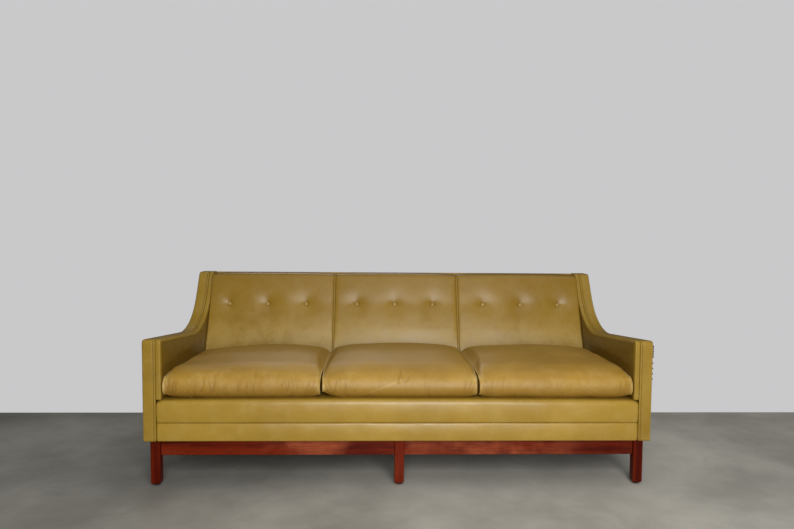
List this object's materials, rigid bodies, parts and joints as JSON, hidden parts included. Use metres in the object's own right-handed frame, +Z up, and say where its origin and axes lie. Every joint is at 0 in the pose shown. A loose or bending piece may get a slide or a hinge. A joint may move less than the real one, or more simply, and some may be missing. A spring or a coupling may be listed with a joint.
{
  "type": "sofa",
  "caption": "Low upholstered sofa in hide with scooped slab arms, a buttoned raked back, loose seat cushions and a square-legged wooden base.",
  "frame": {"origin": "on the floor under the middle of the sofa's outline, at the centre of its bounding box", "axes": "+X to the right for a person facing the sofa, along its length; +Y from its front to its back; +Z up"},
  "size_m": [2, 0.85, 0.795],
  "materials": {
    "hide": "satin",
    "cushion_hide": "satin",
    "mahogany": "satin",
    "frame_wood": "matte",
    "spring_steel": "satin",
    "glide_metal": "satin",
    "jute": "matte",
    "cambric": "matte"
  },
  "bodies": {
    "root": {"front_apron": "mahogany", "front_left_leg": "mahogany", "front_left_glide": "glide_metal", "front_middle_leg": "mahogany", "front_middle_glide": "glide_metal", "front_right_leg": "mahogany", "front_right_glide": "glide_metal", "rear_apron": "mahogany", "rear_left_leg": "mahogany", "rear_left_glide": "glide_metal", "rear_middle_leg": "mahogany", "rear_middle_glide": "glide_metal", "rear_right_leg": "mahogany", "rear_right_glide": "glide_metal", "left_side_apron": "mahogany", "right_side_apron": "mahogany", "base_stretcher": "mahogany", "front_seat_rail": "frame_wood", "rear_seat_rail": "frame_wood", "top_rail": "frame_wood", "left_side_rail": "frame_wood", "left_cross_rail": "frame_wood", "left_end_post": "frame_wood", "left_middle_post": "frame_wood", "left_arm_board": "frame_wood", "right_side_rail": "frame_wood", "right_cross_rail": "frame_wood", "right_end_post": "frame_wood", "right_middle_post": "frame_wood", "right_arm_board": "frame_wood", "back_hessian": "jute", "left_arm_band": "hide", "left_arm_outer_panel": "hide", "left_arm_inner_pad": "hide", "right_arm_band": "hide", "right_arm_outer_panel": "hide", "right_arm_inner_pad": "hide", "front_lip_cover": "hide", "front_band_cover": "hide", "seat_deck": "hide", "outside_back": "hide", "dust_cover": "cambric", "left_seat_springs": "spring_steel", "left_back_pad": "hide", "left_button_1": "hide", "left_button_2": "hide", "left_button_3": "hide", "middle_seat_springs": "spring_steel", "middle_back_pad": "hide", "middle_button_1": "hide", "middle_button_2": "hide", "middle_button_3": "hide", "right_seat_springs": "spring_steel", "right_back_pad": "hide", "right_button_1": "hide", "right_button_2": "hide", "right_button_3": "hide"},
    "left_cushion": {"left_seat_cushion": "cushion_hide"},
    "middle_cushion": {"middle_seat_cushion": "cushion_hide"},
    "right_cushion": {"right_seat_cushion": "cushion_hide"}
  },
  "joints": [
    {"name": "left_cushion_lift", "type": "slide", "parent": "root", "child": "left_cushion", "axis": [0, 0, 1], "range_m": [0, 0.35]},
    {"name": "middle_cushion_lift", "type": "slide", "parent": "root", "child": "middle_cushion", "axis": [0, 0, 1], "range_m": [0, 0.35]},
    {"name": "right_cushion_lift", "type": "slide", "parent": "root", "child": "right_cushion", "axis": [0, 0, 1], "range_m": [0, 0.35]}
  ]
}
